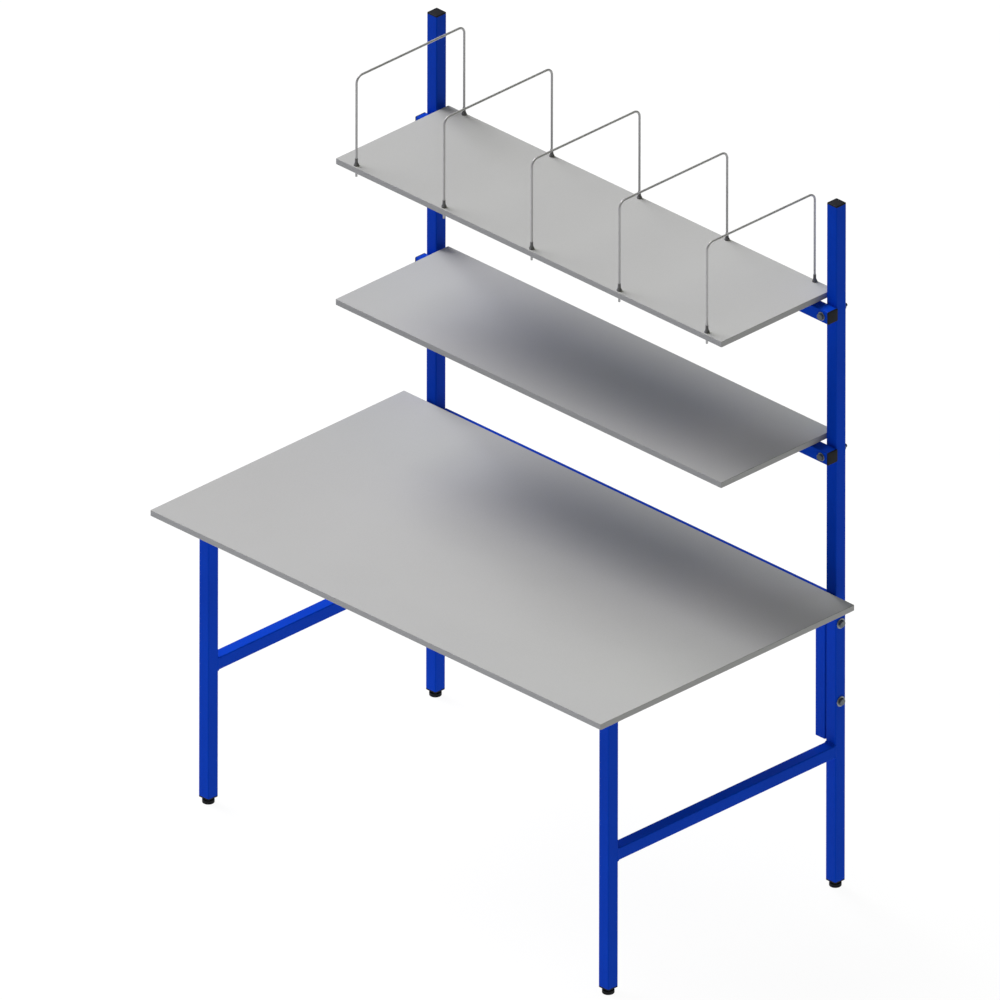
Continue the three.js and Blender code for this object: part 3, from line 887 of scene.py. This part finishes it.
def tube_cap_piece(node, along, direction):
    """Cap in the end of a tube: a flange whose upper edge is a quarter circle, a crown over it that
    falls with the square of the share of the way out, and a ribbed plug in the tube."""
    low, high = node_corners(node)
    size = (high - low)[(along + 1) % 3]
    reach = (high - low)[along] - CAP_FLANGE
    levels = [(outline, -height) for outline, height in plug_levels(0, reach)][::-1]
    levels.append((square_outline(size, size, TUBE_CORNER), 0))
    for drop, inset in zip(*rounding(CAP_DOME, CAP_STEPS)):
        outline = square_outline(size - 2 * inset, size - 2 * inset, TUBE_CORNER - inset)
        levels.append((outline, CAP_FLANGE - CAP_CROWN - drop))
    for share in CROWN_SHARES:
        width = (size - 2 * CAP_DOME) * share
        outline = square_outline(width, width, width * CROWN_CORNER_SHARE)
        levels.append((outline, CAP_FLANGE - CAP_CROWN * share ** 2))
    centre = (low + high) / 2
    centre[along] = (high if direction > 0 else low)[along] - direction * CAP_FLANGE
    piece(f"{node}_moulding", [moved(stack(levels), along, centre, direction)], BLACK, node)


def foot_insert_pieces(node):
    """Flange under the tube, a ribbed plug in it and a round bore through both, with a steel bush
    in the bore."""
    low, high = node_corners(node)
    centre = underside(low, high)
    size, _, height = high - low
    narrow = size - 2 * CAP_ARRIS
    lower = square_outline(narrow, narrow, TUBE_CORNER - CAP_ARRIS)
    whole = square_outline(size, size, TUBE_CORNER)
    bore, upper_bore = circle_like(whole, BUSH_RADIUS), circle_like(whole, INSERT_BORE)
    levels = [(bore, 0), (lower, 0), (whole, CAP_ARRIS), (whole, CAP_FLANGE)]
    levels += plug_levels(CAP_FLANGE, height)
    levels += [(upper_bore, height), (upper_bore, BUSH_DEPTH), (bore, BUSH_DEPTH)]
    piece(f"{node}_moulding", [stack(levels, Z, centre, "loop")], BLACK, node)
    inside, outside = INSERT_BORE - BUSH_LIP, BUSH_RADIUS - BUSH_PLAY
    bottom, top = BUSH_SUNK, BUSH_DEPTH - BUSH_PLAY
    bush = turned([(inside, bottom), (outside, bottom), (outside, top), (inside, top)], centre)
    piece(f"{node}_bush", [bush], ZINC, node)


def levelling_foot_pieces(node, body):
    """Round plastic base with a groove and a hexagonal neck, and a threaded stud standing in it."""
    low, high = node_corners(node)
    centre = underside(low, high)
    radius = (high - low)[X] / 2
    far, near = rounding(FOOT_RIM, CAP_STEPS)
    profile = list(zip(radius - far, near))
    profile += [(radius - depth * FOOT_GROOVE_DEPTH, share * FOOT_BASE_HEIGHT)
                for share, depth in FOOT_GROOVE]
    profile += zip(radius - near, FOOT_BASE_HEIGHT - far)
    base = [(circle(reach), height) for reach, height in profile]
    neck = hex_levels(FOOT_NECK_FLATS, FOOT_BASE_HEIGHT, FOOT_NECK_TOP, False, True)
    piece(f"{node}_base", [stack(base + neck, Z, centre)], BLACK, node, body)
    stud = thread_levels(FOOT_NECK_TOP - STUD_SUNK, (high - low)[Z], FOOT_NECK_TOP)
    piece(f"{node}_stud", [stack(stud, Z, centre)], ZINC, node, body)


# Dividers

def wire_shape(node):
    """Bent wire: a circle carried up one leg, round a quarter bend, over, round another and down,
    and drawn in at its rounded ends. Its mark is the point's place across and along the wire."""
    low, high = node_corners(node)
    radius = (high - low)[X] / 2
    front, back, foot, top = low[Y] + radius, high[Y] - radius, low[Z], high[Z] - radius
    far, near = rounding(WIRE_BEND, WIRE_BEND_STEPS)
    draw, rise = rounding(WIRE_END_ROUNDING, WIRE_END_STEPS)
    straight = np.linspace(foot + WIRE_END_ROUNDING, top - WIRE_BEND, WIRE_RUN_POINTS)[1:-1]
    over = np.linspace(front + WIRE_BEND, back - WIRE_BEND, WIRE_RUN_POINTS)[1:-1]
    leg = np.concatenate([foot + rise, straight])
    line = np.column_stack([
        np.concatenate([np.full(len(leg), front), front + near, over, back - far,
                        np.full(len(leg), back)]),
        np.concatenate([leg, top - far, np.full(len(over), top), top - near, leg[::-1]]),
    ])
    thickness = np.full(len(line), radius)
    thickness[:len(draw)] -= draw
    thickness[-len(draw):] -= draw[::-1]
    tangent = np.gradient(line, axis=0)
    tangent[:len(rise)], tangent[-len(rise):] = (0, 1), (0, -1)
    tangent /= np.linalg.norm(tangent, axis=1)[:, None]
    normal = np.column_stack([-tangent[:, 1], tangent[:, 0]])
    turn = around(WIRE_SIDES)
    across, in_plane = thickness[:, None] * np.cos(turn), thickness[:, None] * np.sin(turn)
    y, z = (line[:, part, None] + in_plane * normal[:, part, None] for part in (0, 1))
    rings = np.stack([middle(node)[X] - across, y, z], axis=-1)
    run = np.concatenate([[0], np.cumsum(np.linalg.norm(np.diff(line, axis=0), axis=1))])
    drawn = np.stack([across, in_plane, np.repeat(run[:, None], WIRE_SIDES, axis=1)], axis=-1)
    return skin(rings, marks={"drawn": drawn})


def sleeve_shape(node):
    """Sleeve: a turned profile. Above its skirt, r = top + (base - top) (1 - share) ^ flare, with
    the share of the way up."""
    low, high = node_corners(node)
    base, height = (high - low)[X] / 2, (high - low)[Z]
    skirt = height * SLEEVE_SKIRT_SHARE
    neck = skirt + SLEEVE_NECKING
    share = np.linspace(0, 1, SLEEVE_POINTS)
    flare = SLEEVE_TOP + (base - SLEEVE_NECKING - SLEEVE_TOP) * (1 - share) ** SLEEVE_FLARE
    profile = [(SLEEVE_BORE, 0), (base - SLEEVE_ARRIS, 0), (base, SLEEVE_ARRIS), (base, skirt)]
    profile += zip(flare, neck + (height - SLEEVE_ARRIS - neck) * share)
    profile += [(SLEEVE_TOP - SLEEVE_TOP_ARRIS, height), (SLEEVE_BORE, height)]
    return turned(profile, underside(low, high))


# The table

def make_boards():
    """The worktop and the shelves, with the dividers' holes in the upper one."""
    board_piece("worktop")
    board_piece("shelf_lower")
    low, high = node_corners("shelf_upper")
    holes = []
    for number in DIVIDERS:
        for end in SLEEVE_ENDS:
            place = middle(f"divider_ferrule_{number}_{end}")
            place[Z] = (low[Z] + high[Z]) / 2
            holes.append((place, Z, high[Z] - low[Z], DIVIDER_HOLE_RADIUS))
    board_piece("shelf_upper", holes)


def make_frame():
    """Both side frames with their uprights' caps and their feet, the rails between them, and the
    shelves' beams with their arms and caps."""
    for side in SIDES:
        frame_bolts = bolt_bores([f"frame_bolt_{level}_{side}" for level in LEVELS], X)
        beam_bolts = bolt_bores([f"beam_bolt_{level}_{side}" for level in LEVELS], Y)
        for part in ("front_leg", "side_rail", "side_brace"):
            tube_piece(f"{part}_{side}")
        tube_piece(f"rear_upright_{side}", bores=frame_bolts + beam_bolts)
        tube_piece(f"back_post_{side}", closed=True, bores=frame_bolts)
        tube_cap_piece(f"upright_cap_{side}", Z, 1)
        for end in ENDS:
            foot_insert_pieces(f"foot_insert_{end}_{side}")
            levelling_foot_pieces(f"levelling_foot_{end}_{side}", f"foot_{end}_{side}")
    for node in ("front_rail", "rear_bearer", "back_rail"):
        tube_piece(node)
    for level in LEVELS:
        bores = bolt_bores([f"beam_bolt_{level}_{side}" for side in SIDES], Y)
        tube_piece(f"shelf_beam_{level}", bores=bores)
        for side, sign in SIDES.items():
            arm_piece(f"shelf_arm_{level}_{side}")
            tube_cap_piece(f"beam_cap_{level}_{side}", X, sign)


def make_welds():
    """Beads at every joint between tubes, and stitches along the arms on their beams."""
    for side, sign in SIDES.items():
        for part, front_top in (("side_rail", "bare"), ("side_brace", "corner")):
            node = f"{part}_{side}"
            for end, direction, top in (("front", 1, front_top), ("rear", -1, "corner")):
                kinds = (top, "flush", "corner", "flush")
                tube_weld(f"weld_{node}_{end}", node, Y, direction, kinds)
        post = f"back_post_{side}"
        outer, inner = ("flush", "corner") if sign > 0 else ("corner", "flush")
        tube_weld(f"weld_{post}", post, Z, -1, (outer, "flush", inner, "flush"))
    for node, kinds in (("front_rail", ("corner", "bare", "flush", "corner")),
                        ("rear_bearer", ("corner", "bare", "corner", "flush"))):
        for side, sign in SIDES.items():
            tube_weld(f"weld_{node}_{side}", node, X, -sign, kinds)
    for level in LEVELS:
        beam_top = node_corners(f"shelf_beam_{level}")[1][Z]
        beam_middle = middle(f"shelf_beam_{level}")[Y]
        for side in SIDES:
            low, high = node_corners(f"shelf_arm_{level}_{side}")
            stitches = []
            for place, sign in ((low[X], -1), (high[X], 1)):
                start = np.array([place, beam_middle - STITCH_LENGTH / 2, beam_top])
                end = np.array([place, beam_middle + STITCH_LENGTH / 2, beam_top])
                stitches.append(stitch_shape(start, end, (0, 0, 1), (sign, 0, 0)))
            piece(f"weld_shelf_arm_{level}_{side}", stitches, BLUE)


def make_fasteners():
    """The bolts, and the wood screws that hold the boards from below."""
    for side in SIDES:
        for level in LEVELS:
            frame_bolt_pieces(f"frame_bolt_{level}_{side}", side)
            beam_bolt_pieces(f"beam_bolt_{level}_{side}", side)
    for level in LEVELS:
        beam_front = node_corners(f"shelf_beam_{level}")[0][Y]
        for side in SIDES:
            low, high = node_corners(f"shelf_arm_{level}_{side}")
            x, _, z = underside(low, high)
            screws = [screw_shape([x, y, z]) for y in (low[Y] + ARM_SCREW_FROM_FRONT,
                                                       beam_front - ARM_SCREW_FROM_BEAM)]
            piece(f"shelf_screws_{level}_{side}", screws, ZINC)
    for node, along in (("side_rail_left", Y), ("side_rail_right", Y),
                        ("front_rail", X), ("rear_bearer", X)):
        low, high = node_corners(node)
        screws = []
        for share in RAIL_SCREW_SHARES:
            place = underside(low, high)
            place[along] = low[along] + share * (high - low)[along]
            screws.append(screw_shape(place))
        piece(f"worktop_screws_{node}", screws, ZINC)


def make_dividers():
    """The bent wires, each with a sleeve on both legs."""
    for number in DIVIDERS:
        body, wire = f"divider_{number}", f"divider_wire_{number}"
        piece(f"{wire}_rod", [wire_shape(wire)], WIRE, wire, body)
        for end in SLEEVE_ENDS:
            sleeve = f"divider_ferrule_{number}_{end}"
            piece(f"{sleeve}_sleeve", [sleeve_shape(sleeve)], DARK_GREY, sleeve, body)


# Camera, light and floor

def make_camera():
    """Parallel camera at the photograph's angle."""
    a, e = VIEW_AZIMUTH, VIEW_ELEVATION
    right = Vector((math.cos(a), math.sin(a), 0))
    up = Vector((-math.sin(a) * math.sin(e), math.cos(a) * math.sin(e), math.cos(e)))
    back = right.cross(up)
    place = Vector((0, middle("back_rail")[Y], 0))
    place += right * VIEW_RIGHT_OFFSET + up * VIEW_UP_OFFSET + back * VIEW_DISTANCE
    turned_right = right * math.cos(VIEW_ROLL) + up * math.sin(VIEW_ROLL)
    turned_up = up * math.cos(VIEW_ROLL) - right * math.sin(VIEW_ROLL)
    camera = linked("camera", bpy.data.cameras.new("camera"))
    camera.data.type = "ORTHO"
    camera.data.ortho_scale = VIEW_WIDTH
    camera.data.clip_end = VIEW_DEPTH
    axes = Matrix((turned_right, turned_up, back)).transposed()
    camera.matrix_world = Matrix.Translation(place) @ axes.to_4x4()
    bpy.context.scene.camera = camera


def make_light():
    """Soft studio light: wide distant lamps all round, the strongest on the left."""
    world = bpy.data.worlds.new("studio")
    bpy.context.scene.world = world
    world.use_nodes = True
    background = next(node for node in world.node_tree.nodes if node.type == "BACKGROUND")
    background.inputs["Color"].default_value = BACKDROP
    seen = world.cycles_visibility
    seen.diffuse = seen.glossy = seen.transmission = seen.scatter = False
    for name, (azimuth, elevation, light) in LAMPS.items():
        a, e = math.radians(azimuth), math.radians(elevation)
        away = Vector((math.cos(e) * math.cos(a), math.cos(e) * math.sin(a), math.sin(e)))
        lamp = bpy.data.lights.new(name, "SUN")
        lamp.angle = LAMP_SPREAD
        lamp.energy = math.pi
        lamp.color = light
        thing = linked(name, lamp)
        thing.location = LAMP_DISTANCE * away
        thing.rotation_euler = away.to_track_quat("Z", "Y").to_euler()
    bpy.context.scene.view_settings.view_transform = "Standard"


def make_floor():
    """Flat square floor under the feet: a grid of quads."""
    line = np.linspace(-FLOOR_HALF, FLOOR_HALF, FLOOR_LINES)
    x, y = np.meshgrid(line, line)
    vertices = np.stack([x, y, np.zeros_like(x)], axis=-1).reshape(-1, 3)
    index = np.arange(x.size).reshape(x.shape)
    quads = np.stack([index[:-1, :-1], index[:-1, 1:], index[1:, 1:], index[1:, :-1]], axis=-1)
    mesh = bpy.data.meshes.new("floor")
    mesh.from_pydata(vertices.tolist(), [], quads.reshape(-1, 4).tolist())
    mesh.materials.append(pale_floor())
    linked("floor", mesh)


make_camera()
make_boards()
make_frame()
make_welds()
make_fasteners()
make_dividers()
make_floor()
make_light()
